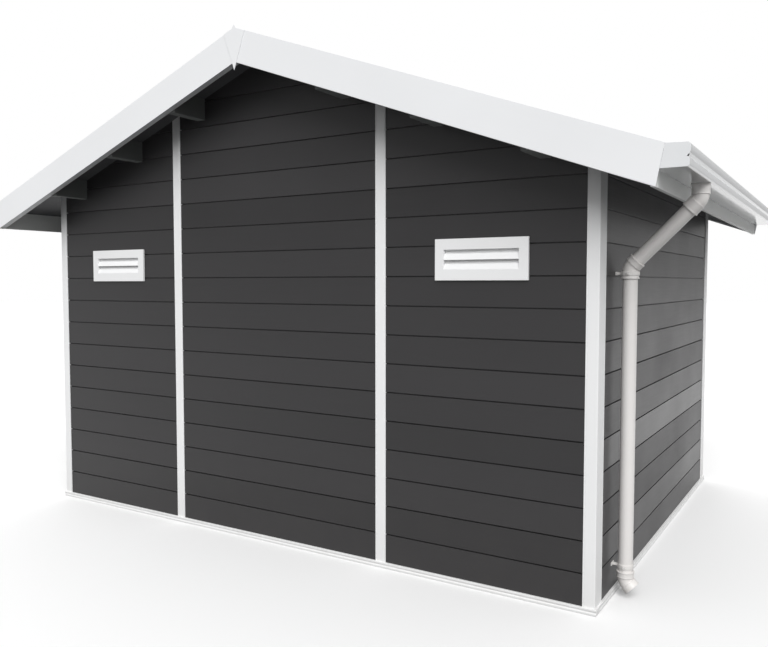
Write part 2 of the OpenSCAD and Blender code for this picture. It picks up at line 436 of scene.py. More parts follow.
@dataclass
class Piece:
    """A finished object with its place in the frame."""

    obj: Obj
    slot: str
    nodes: tuple[str, ...] = ()

    def settle(self, material: Mat) -> "Piece":
        """Dress the piece and tie it to the frame.

        Args:
            material: Material of the piece.

        Returns:
            The same piece.
        """
        Bench.finish_with(self.obj, "WEIGHTED_NORMAL", keep_sharp=True)
        self.obj.data.materials.clear()
        self.obj.data.materials.append(material)
        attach(self.obj, "root")
        if self.nodes:
            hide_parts(*self.nodes)
        LOG.info("%s: %d faces", self.obj.name, len(self.obj.data.polygons))
        return self

    @staticmethod
    def pair(
        obj: Obj, twin_name: str, way: Mirror, slot: str, nodes: tuple[str, str], material: Mat
    ) -> list["Piece"]:
        """Settle an object and its mirror image.

        Args:
            obj: Object to settle.
            twin_name: Name of its mirror image.
            way: Side that the mirror image goes to.
            slot: Slot of both.
            nodes: Node that the object replaces and node that its image replaces.
            material: Material of both.

        Returns:
            The two pieces.
        """
        twin = Bench.mirrored(obj, twin_name, way)
        return [Piece(o, slot, (n,)).settle(material) for o, n in zip((obj, twin), nodes)]

    @staticmethod
    def four(master: Obj, pattern: str, suffix: str, slot: str, material: Mat) -> list["Piece"]:
        """Copy a front right piece to all four corners and discard it.

        Args:
            master: The front right piece.
            pattern: Name of the nodes, with gaps for the end and the side.
            suffix: What the pieces' names add to the nodes' names.
            slot: Slot of the pieces.
            material: Material of the pieces.

        Returns:
            The four pieces.
        """
        made = []
        for way, end, side in (
            (Mirror.NONE, "front", "right"), (Mirror.LEFT, "front", "left"),
            (Mirror.BACK, "back", "right"), (Mirror.BACK_LEFT, "back", "left"),
        ):
            node = pattern.format(end, side)
            obj = Bench.mirrored(master, node + suffix, way)
            made.append(Piece(obj, slot, (node,)).settle(material))
        bpy.data.objects.remove(master)
        return made


# ---------------------------------------------------------------- finishes


class Sockets(Enum):
    """Kinds of socket on a node group."""

    VALUE = "NodeSocketFloat"


class Effects:
    """Shader node groups that several finishes share."""

    @staticmethod
    def start(name: str, ins: dict[str, float], outs: dict[str, Sockets]) -> tuple:
        """Open a node group with named sockets.

        Args:
            name: Name of the group.
            ins: Its value inputs with their defaults.
            outs: Its outputs with their kinds.

        Returns:
            The tree, its input node and its output node.
        """
        tree = bpy.data.node_groups.new(name, "ShaderNodeTree")
        for key, kind in outs.items():
            tree.interface.new_socket(key, in_out="OUTPUT", socket_type=kind.value)
        for key, value in ins.items():
            kind = Sockets.VALUE.value
            sock = tree.interface.new_socket(key, in_out="INPUT", socket_type=kind)
            sock.default_value = value
        return tree, tree.nodes.new("NodeGroupInput"), tree.nodes.new("NodeGroupOutput")

    @staticmethod
    def noise(tree: Tree, scale: Point3, detail: float) -> Node:
        """Add noise on object coordinates, stretched by a scale on each axis.

        Args:
            tree: Tree that gets the nodes.
            scale: Stretch on each axis.
            detail: Octaves of the noise.

        Returns:
            The noise node.
        """
        coord = tree.nodes.new("ShaderNodeTexCoord")
        mapping = tree.nodes.new("ShaderNodeMapping")
        mapping.inputs["Scale"].default_value = scale
        tex = tree.nodes.new("ShaderNodeTexNoise")
        tex.inputs["Scale"].default_value = 1.0
        tex.inputs["Detail"].default_value = detail
        tree.links.new(coord.outputs["Object"], mapping.inputs["Vector"])
        tree.links.new(mapping.outputs["Vector"], tex.inputs["Vector"])
        return tex

    @staticmethod
    def maths(
        tree: Tree, how: str, a: object, b: object, clamp: bool = False
    ) -> Socket:
        """Add a math node on two sockets or numbers and return its output.

        Args:
            tree: Tree that gets the node.
            how: Operation.
            a: First socket or number.
            b: Second socket or number, if it has one.
            clamp: True to keep the result from 0 to 1.

        Returns:
            The node's output.
        """
        node = tree.nodes.new("ShaderNodeMath")
        node.operation, node.use_clamp = how, clamp
        for i, value in enumerate((a, b)):
            if isinstance(value, (int, float)):
                node.inputs[i].default_value = value
            elif value is not None:
                tree.links.new(value, node.inputs[i])
        return node.outputs[0]

    @staticmethod
    def mottling() -> Tree:
        """Slow and fine unevenness of a coated or moulded surface.

        Returns:
            The node group.
        """
        outs = {"Tone": Sockets.VALUE, "Gloss": Sockets.VALUE, "Height": Sockets.VALUE}
        ins = {"Strength": 0.05, "Roughness": 0.4}
        tree, gin, gout = Effects.start("Uneven coat", ins, outs)
        m = Effects.maths
        slow = Effects.noise(tree, (1.6, 1.6, 1.6), 3).outputs[0]
        fine = Effects.noise(tree, (420, 420, 420), 2).outputs[0]
        swing = m(tree, "MULTIPLY", m(tree, "SUBTRACT", slow, 0.5), gin.outputs["Strength"])
        tone = m(tree, "ADD", 1.0, swing)
        gloss = m(tree, "ADD", gin.outputs["Roughness"], m(tree, "MULTIPLY", swing, 1.2))
        tree.links.new(tone, gout.inputs["Tone"])
        tree.links.new(gloss, gout.inputs["Gloss"])
        tree.links.new(fine, gout.inputs["Height"])
        return tree

    @staticmethod
    def ground_dust() -> Tree:
        """Mask of the dust and splashes that gather near the ground.

        Returns:
            The node group.
        """
        ins = {"Reach": 0.35, "Amount": 0.2}
        tree, gin, gout = Effects.start("Ground dust", ins, {"Mask": Sockets.VALUE})
        m = Effects.maths
        coord = tree.nodes.new("ShaderNodeTexCoord")
        split = tree.nodes.new("ShaderNodeSeparateXYZ")
        tree.links.new(coord.outputs["Object"], split.inputs[0])
        near = m(tree, "SUBTRACT", 1.0, m(tree, "DIVIDE", split.outputs[2], gin.outputs["Reach"]),
                 True)
        blots = Effects.noise(tree, (7, 7, 4), 5).outputs[0]
        mask = m(tree, "MULTIPLY", m(tree, "MULTIPLY", near, blots), gin.outputs["Amount"], True)
        tree.links.new(mask, gout.inputs["Mask"])
        return tree

    @staticmethod
    def edge_wear_and_highlight() -> Tree:
        """Mask of sharp edges that are painted paler: partly worn coat, partly a painted highlight
        where the edges catch light.

        Returns:
            The node group.
        """
        ins = {"Amount": 0.3}
        tree, gin, gout = Effects.start("Edge wear", ins, {"Mask": Sockets.VALUE})
        m = Effects.maths
        geo = tree.nodes.new("ShaderNodeNewGeometry")
        # painted highlight together with worn coat: convex edges found by pointiness get a paler
        # colour
        sharp = m(tree, "SUBTRACT", geo.outputs["Pointiness"], 0.52)
        ramp = m(tree, "MULTIPLY", sharp, 12.0, True)
        blots = Effects.noise(tree, (30, 30, 30), 4).outputs[0]
        mask = m(tree, "MULTIPLY", m(tree, "MULTIPLY", ramp, blots), gin.outputs["Amount"], True)
        tree.links.new(mask, gout.inputs["Mask"])
        return tree

    @staticmethod
    def board_grain() -> Tree:
        """Brushed grain along the boards and a tone of its own for each board.

        Returns:
            The node group.
        """
        ins = {"Pitch": 0.15, "Foot": 0.03, "Spread": 0.1}
        outs = {"Tone": Sockets.VALUE, "Height": Sockets.VALUE}
        tree, gin, gout = Effects.start("Board grain", ins, outs)
        m = Effects.maths
        coord = tree.nodes.new("ShaderNodeTexCoord")
        split = tree.nodes.new("ShaderNodeSeparateXYZ")
        tree.links.new(coord.outputs["Object"], split.inputs[0])
        up = m(tree, "SUBTRACT", split.outputs[2], gin.outputs["Foot"])
        row = m(tree, "FLOOR", m(tree, "DIVIDE", up, gin.outputs["Pitch"]), None)
        dice = tree.nodes.new("ShaderNodeTexWhiteNoise")
        dice.noise_dimensions = "1D"
        tree.links.new(row, dice.inputs["W"])
        own = m(tree, "MULTIPLY", m(tree, "SUBTRACT", dice.outputs["Value"], 0.5),
                gin.outputs["Spread"])
        grain = Effects.noise(tree, (3.0, 3.0, 380.0), 4).outputs[0]
        cloud = Effects.noise(tree, (1.1, 1.1, 2.2), 2).outputs[0]
        streak = m(tree, "MULTIPLY", m(tree, "SUBTRACT", grain, 0.5), 0.24)
        drift = m(tree, "MULTIPLY", m(tree, "SUBTRACT", cloud, 0.5), 0.22)
        tone = m(tree, "ADD", m(tree, "ADD", 1.0, own), m(tree, "ADD", streak, drift))
        tree.links.new(tone, gout.inputs["Tone"])
        tree.links.new(grain, gout.inputs["Height"])
        return tree


class Kit:
    """Builds materials from the shared effects."""

    def __init__(self) -> None:
        """Build each shared node group once."""
        self.mottling = Effects.mottling()
        self.dust = Effects.ground_dust()
        self.wear_and_highlight = Effects.edge_wear_and_highlight()
        self.grain = Effects.board_grain()

    @staticmethod
    def blank(name: str) -> tuple[Mat, Tree, Node]:
        """Open a new material and return it with its tree and its Principled shader.

        Args:
            name: Name of the material.

        Returns:
            The material, its tree and its Principled shader.
        """
        mat = bpy.data.materials.new(name)
        mat.use_nodes = True
        return mat, mat.node_tree, mat.node_tree.nodes["Principled BSDF"]

    @staticmethod
    def group(tree: Tree, kind: Tree, **values: float) -> Node:
        """Place a shared group in a material with its own values.

        Args:
            tree: Tree of the material.
            kind: The shared group.
            **values: The group's inputs.

        Returns:
            The group's node.
        """
        node = tree.nodes.new("ShaderNodeGroup")
        node.node_tree = kind
        for key, value in values.items():
            node.inputs[key].default_value = value
        return node

    @staticmethod
    def tinted(
        tree: Tree, colour: Point3, tone: Socket
    ) -> Socket:
        """Scale a colour by a tone that changes over the surface.

        Args:
            tree: Tree of the material.
            colour: Linear colour.
            tone: Socket with the tone.

        Returns:
            Socket with the scaled colour.
        """
        node = tree.nodes.new("ShaderNodeVectorMath")
        node.operation = "SCALE"
        node.inputs[0].default_value = colour
        tree.links.new(tone, node.inputs["Scale"])
        return node.outputs[0]

    @staticmethod
    def blended(
        tree: Tree, mask: Socket, under: Socket,
        over: Point3,
    ) -> Socket:
        """Lay a colour over another where a mask is strong.

        Args:
            tree: Tree of the material.
            mask: Socket with the mask.
            under: Socket with the colour below.
            over: Linear colour on top.

        Returns:
            Socket with the mixed colour.
        """
        mix = tree.nodes.new("ShaderNodeMix")
        mix.data_type = "RGBA"
        tree.links.new(mask, mix.inputs["Factor"])
        tree.links.new(under, mix.inputs[6])
        mix.inputs[7].default_value = (*over, 1)
        return mix.outputs[2]

    @staticmethod
    def bumped(
        tree: Tree, shader: Node, height: Socket,
        depth: float, strength: float,
    ) -> None:
        """Drive the shader's normal with a height.

        Args:
            tree: Tree of the material.
            shader: Principled shader.
            height: Socket with the height.
            depth: Depth of the relief.
            strength: How much of it shows.
        """
        bump = tree.nodes.new("ShaderNodeBump")
        bump.inputs["Distance"].default_value = depth
        bump.inputs["Strength"].default_value = strength
        tree.links.new(height, bump.inputs["Height"])
        tree.links.new(bump.outputs["Normal"], shader.inputs["Normal"])


@dataclass(frozen=True)
class Coat:
    """A painted or moulded finish."""

    name: str
    colour: Point3
    roughness: float = 0.4
    metallic: float = 0.0
    unevenness: float = 0.06
    dust: float = 0.25
    dust_reach: float = 0.3
    dust_colour: Point3 = (0.42, 0.38, 0.32)
    # paler colour on sharp edges: partly worn coat, partly painted highlight
    wear_and_highlight: float = 0.25
    wear_and_highlight_colour: Point3 = (0.9, 0.9, 0.9)
    bump: float = 0.00012
    coat_weight: float = 0.0
    specular: float = 0.5

    def build(self, kit: Kit) -> Mat:
        """Build the material.

        Args:
            kit: The shared effects.

        Returns:
            The material.
        """
        mat, tree, shader = kit.blank(self.name)
        spots = kit.group(tree, kit.mottling, Strength=self.unevenness, Roughness=self.roughness)
        dust = kit.group(tree, kit.dust, Reach=self.dust_reach, Amount=self.dust)
        wear_and_highlight = kit.group(tree, kit.wear_and_highlight, Amount=self.wear_and_highlight)
        base = kit.tinted(tree, self.colour, spots.outputs["Tone"])
        # lay the paler edge colour: worn coat and painted highlight on sharp edges
        base = kit.blended(tree, wear_and_highlight.outputs["Mask"], base, self.wear_and_highlight_colour)
        base = kit.blended(tree, dust.outputs["Mask"], base, self.dust_colour)
        tree.links.new(base, shader.inputs["Base Color"])
        tree.links.new(spots.outputs["Gloss"], shader.inputs["Roughness"])
        shader.inputs["Metallic"].default_value = self.metallic
        shader.inputs["Coat Weight"].default_value = self.coat_weight
        shader.inputs["Specular IOR Level"].default_value = self.specular
        kit.bumped(tree, shader, spots.outputs["Height"], self.bump, 0.35)
        return mat


@dataclass(frozen=True)
class Boards:
    """Charcoal wood-plastic boards with a brushed face."""

    name: str = "charcoal composite boards"
    colour: Point3 = (0.0265, 0.0256, 0.0268)
    pitch: float = 0.15
    foot: float = 0.03
    spread: float = 0.34
    roughness: float = 0.41
    dust: float = 0.05

    def build(self, kit: Kit) -> Mat:
        """Build the material.

        Args:
            kit: The shared effects.

        Returns:
            The material.
        """
        mat, tree, shader = kit.blank(self.name)
        grain = kit.group(tree, kit.grain, Pitch=self.pitch, Foot=self.foot, Spread=self.spread)
        spots = kit.group(tree, kit.mottling, Strength=0.16, Roughness=self.roughness)
        dust = kit.group(tree, kit.dust, Reach=0.6, Amount=self.dust)
        tone = Effects.maths(tree, "MULTIPLY", grain.outputs["Tone"], spots.outputs["Tone"])
        base = kit.tinted(tree, self.colour, tone)
        base = kit.blended(tree, dust.outputs["Mask"], base, (0.2, 0.18, 0.16))
        tree.links.new(base, shader.inputs["Base Color"])
        gloss = Effects.maths(tree, "MULTIPLY", spots.outputs["Gloss"], grain.outputs["Tone"])
        tree.links.new(gloss, shader.inputs["Roughness"])
        shader.inputs["Specular IOR Level"].default_value = 0.38
        kit.bumped(tree, shader, grain.outputs["Height"], 0.0005, 0.4)
        return mat


@dataclass
class Finishes:
    """Every finish of the shed."""

    kit: Kit
    frame_white: Mat = field(init=False)
    boards: Mat = field(init=False)
    trim: Mat = field(init=False)
    roof: Mat = field(init=False)
    purlin: Mat = field(init=False)
    fascia: Mat = field(init=False)
    gutter: Mat = field(init=False)
    pipe: Mat = field(init=False)
    vent: Mat = field(init=False)
    screw: Mat = field(init=False)

    def __post_init__(self) -> None:
        """Build the materials."""
        kit = self.kit
        self.frame_white = Coat("white powder coat", (0.86, 0.865, 0.87), 0.38).build(kit)
        self.boards = Boards().build(kit)
        self.trim = Coat(
            "white trim sheet", (0.87, 0.88, 0.895), 0.34, dust=0.0, unevenness=0.08
        ).build(kit)
        self.roof = Coat(
            "dark roof sheet", (0.045, 0.046, 0.05), 0.5, dust=0.0, unevenness=0.25,
            wear_and_highlight_colour=(0.12, 0.12, 0.12),
        ).build(kit)
        self.purlin = Coat(
            "dark purlin coat", (0.10, 0.106, 0.103), 0.6, dust=0.0, unevenness=0.2,
            wear_and_highlight_colour=(0.1, 0.1, 0.1),
        ).build(kit)
        self.fascia = Coat("white fascia", (0.76, 0.775, 0.76), 0.45, dust=0.0).build(kit)
        self.gutter = Coat(
            "glossy white gutter", (0.78, 0.795, 0.81), 0.16, dust=0.0, coat_weight=0.5
        ).build(kit)
        self.pipe = Coat(
            "off-white pipe", (0.73, 0.71, 0.695), 0.36, unevenness=0.1, wear_and_highlight=0.1
        ).build(kit)
        self.vent = Coat("white vent plastic", (0.87, 0.875, 0.88), 0.42, dust=0.0).build(kit)
        self.screw = Coat(
            "bright screws", (0.6, 0.6, 0.6), 0.3, metallic=1.0, dust=0.0, bump=0.00005
        ).build(kit)


# ---------------------------------------------------------------- sub-assemblies


@dataclass
class BaseTrack:
    """The white track that the walls stand on."""

    finish: Mat
    lip: float = 0.003

    def section(self, inner: float, outer: float, top: float) -> list[Point2]:
        """Section of the track, with a shallow channel along its outer face.

        Args:
            inner: Inner face across the track.
            outer: Outer face.
            top: Height of the track.

        Returns:
            Corners of the section.
        """
        s = self.lip
        way = 1 if outer > inner else -1
        return [
            (inner, 0.0), (outer - way * 0.001, 0.0), (outer, 0.001), (outer, top * 0.34),
            (outer - way * s, top * 0.40), (outer - way * s, top * 0.62), (outer, top * 0.68),
            (outer, top - 0.0015), (outer - way * 0.0015, top), (inner, top),
        ]

    def build(self) -> list[Piece]:
        """Build the four lengths of track.

        Returns:
            The pieces.
        """
        made = []
        for node, axis in (
            ("base_track_front", Axis.X), ("base_track_back", Axis.X),
            ("base_track_left", Axis.Y), ("base_track_right", Axis.Y),
        ):
            lo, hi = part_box(node)
            across, along = (1, 0) if axis is Axis.X else (0, 1)
            outward = hi[across] > 0
            inner, outer = (lo[across], hi[across]) if outward else (hi[across], lo[across])
            obj = Bench.outline(
                node + "_profile", self.section(inner, outer, hi.z), axis, lo[along], hi[along]
            )
            Bench.soften(obj, 0.0006, 1)
            made.append(Piece(obj, "white_frame", (node,)).settle(self.finish))
        return made


@dataclass
class Posts:
    """Corner posts and inner posts, as slotted extrusions."""

    finish: Mat
    slopes: Slopes
    line: float = 0.0025
    inset: float = 0.006
    over: float = 0.05

    def corner(self) -> Obj:
        """Build the post at the front right corner, cut to the roof's slope.

        Returns:
            The post.
        """
        lo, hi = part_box("corner_post_front_right")
        d, e = self.line, self.inset
        section = [
            (lo.x, lo.y), (lo.x + e, lo.y), (lo.x + e, lo.y + d), (lo.x + e + d, lo.y + d),
            (lo.x + e + d, lo.y), (hi.x - 0.004, lo.y), (hi.x - 0.0012, lo.y + 0.0012),
            (hi.x, lo.y + 0.004), (hi.x, hi.y - e - d), (hi.x - d, hi.y - e - d),
            (hi.x - d, hi.y - e), (hi.x, hi.y - e), (hi.x, hi.y), (lo.x, hi.y),
        ]
        obj = Bench.outline("corner_post_profile", section, Axis.Z, lo.z, hi.z + self.over)
        self.trim_top(obj)
        return obj

    def inner(self) -> Obj:
        """Build the inner post on the right of the front gable, cut to the roof's slope.

        Returns:
            The post.
        """
        lo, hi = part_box("front_post_right")
        d, e = self.line, self.inset
        section = [
            (lo.x, lo.y + 0.001), (lo.x + 0.001, lo.y), (lo.x + e, lo.y), (lo.x + e, lo.y + d),
            (lo.x + e + d, lo.y + d), (lo.x + e + d, lo.y), (hi.x - e - d, lo.y),
            (hi.x - e - d, lo.y + d), (hi.x - e, lo.y + d), (hi.x - e, lo.y),
            (hi.x - 0.001, lo.y), (hi.x, lo.y + 0.001), (hi.x, hi.y), (lo.x, hi.y),
        ]
        obj = Bench.outline("inner_post_profile", section, Axis.Z, lo.z, hi.z + self.over)
        self.trim_top(obj)
        return obj

    def trim_top(self, obj: Obj) -> None:
        """Cut a post's head to the roof's underside.

        Args:
            obj: Post to cut.
        """
        up = Vector((self.slopes.rise, 0, 1)).normalized()
        Bench.slice_off(obj, Vector((0, 0, self.slopes.apex)), up)
        Bench.soften(obj, 0.0005, 1)

    def build(self) -> list[Piece]:
        """Build all posts.

        Returns:
            The pieces.
        """
        made = []
        for master, pattern in (
            (self.corner(), "corner_post_{}_{}"), (self.inner(), "{}_post_{}"),
        ):
            made += Piece.four(master, pattern, "_profile", "white_frame", self.finish)
        return made


@dataclass
class BoardWalls:
    """Walls of stacked tongued boards."""

    finish: Mat
    slopes: Slopes
    pitch: float = 0.15
    gap: float = 0.0062
    depth: float = 0.012
    ease: float = 0.0004
    hole: Point2 = (0.202, 0.052)
    widest_purlin: float = 0.2
    over: float = 0.1

    def section(self, face: float, inner: float, foot: float, top: float) -> list[Point2]:
        """Section of a wall, with a sunk joint between each pair of boards.

        Args:
            face: Where the outer face lies across the wall.
            inner: Where the inner face lies.
            foot: Height of the wall's foot.
            top: Height of the wall's top.

        Returns:
            Corners of the section.
        """
        way = 1 if inner > face else -1
        points = [(inner, foot), (face, foot)]
        z = foot + self.pitch
        while z < top - self.gap:
            half, e = self.gap / 2, self.ease
            points += [
                (face, z - half - e), (face + way * e, z - half),
                (face + way * self.depth, z - half),
                (face + way * self.depth, z + half), (face + way * e, z + half),
                (face, z + half + e),
            ]
            z += self.pitch
        return points + [(face, top), (inner, top)]

    def gable(self, node: str) -> Obj:
        """Build a front gable wall from its node's box, sloped, notched and cut for its vent.

        Args:
            node: Node that the wall replaces.

        Returns:
            The wall.
        """
        lo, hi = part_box(node)
        obj = Bench.outline(
            node + "_boards", self.section(lo.y, hi.y, lo.z, hi.z), Axis.X, lo.x, hi.x
        )
        for side in (1, -1):
            if max(hi.x * side, lo.x * side) > 0.01:
                up = Vector((side * self.slopes.rise, 0, 1)).normalized()
                Bench.slice_off(obj, Vector((0, 0, self.slopes.apex)), up)
        for cutter in self.openings(lo, hi):
            Bench.carve(obj, cutter)
        Bench.closed(obj)
        return obj

    def openings(self, lo: Vector, hi: Vector) -> list[Obj]:
        """Cutters for the vent and the purlins that fall inside a wall's width.

        Args:
            lo: Lowest corner of the wall.
            hi: Highest corner of the wall.

        Returns:
            The cutters.
        """
        cutters = []
        for loose in self.solids("front_vents") + self.solids("purlins_left") + self.solids(
            "purlins_right"
        ):
            a, b = loose
            if a.x > lo.x and b.x < hi.x:
                vent = b.x - a.x > self.widest_purlin
                dx = (b.x - a.x) * 0.5 - self.hole[0] if vent else 0
                dz = (b.z - a.z) * 0.5 - self.hole[1] if vent else 0
                top = b.z - dz if vent else b.z + self.over
                cutters.append(
                    Bench.block(
                        "cutter", (a.x + dx, lo.y - self.over, a.z + dz),
                        (b.x - dx, hi.y + self.over, top),
                    )
                )
        return cutters

    @staticmethod
    def solids(node: str) -> list[tuple[Vector, Vector]]:
        """Boxes of the separate solids of a node, told apart by gaps along X.

        Args:
            node: Node to read.

        Returns:
            Lowest and highest corner of each solid.
        """
        xs = sorted({round(v.co.x, 4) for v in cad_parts[node].data.vertices})
        verts = [v.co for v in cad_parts[node].data.vertices]
        runs, start = [], xs[0]
        for a, b in zip(xs, xs[1:] + [xs[-1] + 9]):
            if b - a > SPAN:
                runs.append((start, a))
                start = b
        out = []
        for a, b in runs:
            own = [v for v in verts if a - 1e-4 <= v.x <= b + 1e-4]
            out.append(
                (Vector((a, min(v.y for v in own), min(v.z for v in own))),
                 Vector((b, max(v.y for v in own), max(v.z for v in own))))
            )
        return out

    def side(self) -> Obj:
        """Build the right side wall.

        Returns:
            The wall.
        """
        lo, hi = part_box("right_wall")
        obj = Bench.outline(
            "right_wall_boards", self.section(hi.x, lo.x, lo.z, hi.z), Axis.Y, lo.y, hi.y
        )
        up = Vector((self.slopes.rise, 0, 1)).normalized()
        Bench.slice_off(obj, Vector((0, 0, self.slopes.apex)), up)
        return obj

    def build(self) -> list[Piece]:
        """Build all walls.

        Returns:
            The pieces.
        """
        made = []
        for name in ("wall_left", "wall_centre", "wall_right"):
            obj = self.gable("front_" + name)
            made += Piece.pair(
                obj, "back_" + name + "_boards", Mirror.BACK, "composite_board",
                ("front_" + name, "back_" + name), self.finish,
            )
        return made + Piece.pair(
            self.side(), "left_wall_boards", Mirror.LEFT, "composite_board",
            ("right_wall", "left_wall"), self.finish,
        )


@dataclass
class Vents:
    """Louvred vents with a flat frame and hooded blades."""

    finish: Mat
    edge: float = 0.002
    plate: float = 0.014
    sleeve: float = 0.003
    sheet: float = 0.0025
    half: float = 0.048
    slot: float = 0.019
    pitch: float = 0.0495

    def frame(self, lo: Vector, hi: Vector, hole: tuple[Vector, Vector]) -> Obj:
        """Build a vent's frame with its sleeve.

        Args:
            lo: Lowest corner of the vent.
            hi: Highest corner of the vent.
            hole: Corners of the open part.

        Returns:
            The frame.
        """
        plate, wall = self.plate, self.sleeve
        obj = Bench.block("vent_frame", lo, (hi.x, lo.y + plate, hi.z))
        sleeve_lo = Vector((hole[0].x - wall, lo.y + plate, hole[0].z - wall))
        sleeve_hi = Vector((hole[1].x + wall, hi.y, hole[1].z + wall))
        sleeve = Bench.block("vent_sleeve", sleeve_lo, sleeve_hi)
        for part in (obj, sleeve):
            Bench.carve(
                part,
                Bench.block("cutter", (hole[0].x, lo.y - 0.1, hole[0].z),
                            (hole[1].x, hi.y + 0.1, hole[1].z)),
            )
        Bench.soften(obj, self.edge, 2)
        return Bench.joined("vent_frame", [obj, sleeve])

    def blade(self, x: Point2, face: float, low: float, step: float, high: float) -> Obj:
        """Build one hooded blade with the shaded wall that rises behind its slot.

        Args:
            x: Where the blade starts and ends along the gable.
            face: Where its foot lies across the gable.
            low: Height of its foot.
            step: Height of the top of its sloping face.
            high: Height of the wall behind its slot.

        Returns:
            The blade.
        """
        t = self.sheet
        section = [
            (face, low), (face + t * 1.2, low), (face + 0.014 + t, step - t),
            (face + 0.020 + t, step - t), (face + 0.020 + t, high), (face + 0.020, high),
            (face + 0.020, step), (face + 0.014, step),
        ]
        obj = Bench.outline("vent_blade", section, Axis.X, x[0], x[1])
        Bench.soften(obj, 0.0005, 1)
        return obj

    def build(self) -> list[Piece]:
        """Build the vents of both gables.

        Returns:
            The pieces.
        """
        frames, blades = [], []
        hole = BoardWalls.solids("front_vent_blades")
        for i, (lo, hi) in enumerate(BoardWalls.solids("front_vents")):
            a, b = hole[i]
            middle = (lo.z + hi.z) / 2
            hole_lo = Vector((a.x, lo.y, middle - self.half))
            hole_hi = Vector((b.x, hi.y, middle + self.half))
            frames.append(self.frame(lo, hi, (hole_lo, hole_hi)))
            for k in range(2):
                high = middle + self.half - k * self.pitch
                step = high - self.slot
                low = high - self.pitch if k == 0 else hole_lo.z
                blades.append(self.blade((a.x, b.x), a.y, low, step, high))
        frames_obj = Bench.joined("front_vent_frames", frames)
        blades_obj = Bench.joined("front_vent_louvres", blades)
        made = []
        for obj, front, back in (
            (frames_obj, "front_vents", "back_vents"),
            (blades_obj, "front_vent_blades", "back_vent_blades"),
        ):
            name = obj.name.replace("front", "back")
            made += Piece.pair(obj, name, Mirror.BACK, "vent_plastic", (front, back), self.finish)
        return made


@dataclass
class RoofDeck:
    """Purlins, ribbed roof sheets and the ridge cap."""

    finishes: Finishes
    slopes: Slopes
    rib_pitch: float = 0.25
    rib_width: float = 0.034
    rib_height: float = 0.018
    rib_taper: float = 0.55
    verge: float = 0.1
    clearance: float = 0.004
    cap_sheet: float = 0.002
    cap_lip: float = 0.014
    cap_crown: float = 0.006

    def purlins(self) -> list[Piece]:
        """Build the purlins of both slopes.

        Returns:
            The pieces.
        """
        bars = []
        for lo, hi in BoardWalls.solids("purlins_right"):
            top0, top1 = self.slopes.under(lo.x), self.slopes.under(hi.x)
            section = [(lo.x, lo.z), (hi.x, lo.z), (hi.x, top1), (lo.x, top0)]
            bar = Bench.outline("purlin", section, Axis.Y, lo.y, hi.y)
            Bench.soften(bar, 0.002, 2)
            bars.append(bar)
        obj = Bench.joined("purlin_bars_right", bars)
        return Piece.pair(
            obj, "purlin_bars_left", Mirror.LEFT, "purlin", ("purlins_right", "purlins_left"),
            self.finishes.purlin,
        )

    def sheets(self) -> list[Piece]:
        """Build the ribbed roof sheets of both slopes.

        Returns:
            The pieces.
        """
        lo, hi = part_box("roof_panel_right")
        apex = self.slopes.apex
        flat = self.slopes.plumb - self.clearance - self.rib_height
        count = round((hi.y - lo.y - self.verge) / self.rib_pitch)
        first = -(count - 1) / 2 * self.rib_pitch
        tops = [(lo.y, flat)]
        for i in range(count):
            y, w = first + i * self.rib_pitch, self.rib_width / 2
            tops += [
                (y - w, flat), (y - w * self.rib_taper, flat + self.rib_height),
                (y + w * self.rib_taper, flat + self.rib_height), (y + w, flat),
            ]
        tops.append((hi.y, flat))
        loop = [(lo.y, 0.0), *tops, (hi.y, 0.0)]
        corners = [Vector((0, y, apex + t)) for y, t in loop]
        run = Vector((hi.x, 0, -self.slopes.rise * hi.x))
        obj = Bench.swept("roof_sheet_right", corners, run)
        Bench.soften(obj, 0.0015, 1)
        return Piece.pair(
            obj, "roof_sheet_left", Mirror.LEFT, "roof_sheet",
            ("roof_panel_right", "roof_panel_left"), self.finishes.roof,
        )

    def cap(self) -> Piece:
        """Build the folded ridge cap with its turned-down edges.

        Returns:
            The piece.
        """
        lo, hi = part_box("ridge_cap")
        k, top, sheet, crown = self.slopes.rise, hi.z - 0.0005, self.cap_sheet, self.cap_crown
        foot = top - k * hi.x
        section = [
            (lo.x, foot - self.cap_lip), (lo.x + sheet, foot - self.cap_lip),
            (lo.x + sheet, foot - sheet), (0, top - sheet), (hi.x - sheet, foot - sheet),
            (hi.x - sheet, foot - self.cap_lip), (hi.x, foot - self.cap_lip), (hi.x, foot),
            (crown, top - k * crown), (0, top), (-crown, top - k * crown), (lo.x, foot),
        ]
        obj = Bench.outline("ridge_cap_sheet", section, Axis.Y, lo.y, hi.y)
        Bench.soften(obj, 0.0006, 1)
        return Piece(obj, "roof_sheet", ("ridge_cap",)).settle(self.finishes.roof)

    def build(self) -> list[Piece]:
        """Build the roof deck.

        Returns:
            The pieces.
        """
        return [*self.purlins(), *self.sheets(), self.cap()]


